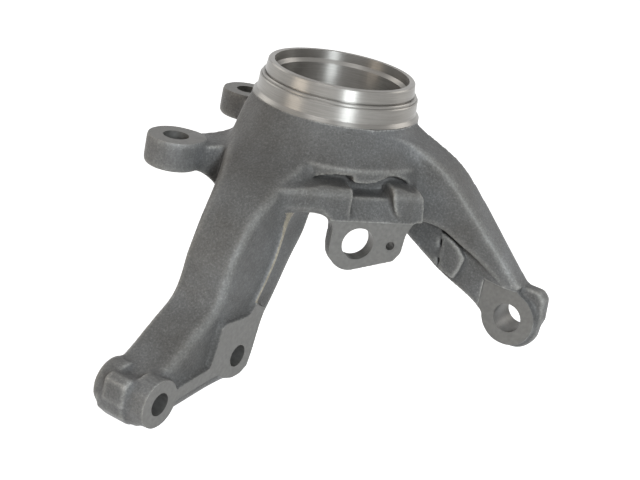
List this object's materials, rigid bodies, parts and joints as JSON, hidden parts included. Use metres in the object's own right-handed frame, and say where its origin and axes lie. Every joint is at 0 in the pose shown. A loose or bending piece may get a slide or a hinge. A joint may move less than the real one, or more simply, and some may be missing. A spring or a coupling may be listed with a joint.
{
  "type": "steering knuckle",
  "caption": "Cast iron steering knuckle with a bearing bore, a strut leg, a steering arm, caliper ears, a sensor tab and a ball joint boss.",
  "frame": {"origin": "centre of the wheel bearing seat", "axes": "+Z along the bearing bore towards the hub side, -Y towards the strut leg, +X towards the steering arm"},
  "size_m": [0.2421, 0.2627, 0.1589],
  "materials": {
    "casting": "blasted cast surface with bare machined faces"
  },
  "bodies": {
    "root": {"knuckle": "casting"}
  },
  "joints": []
}
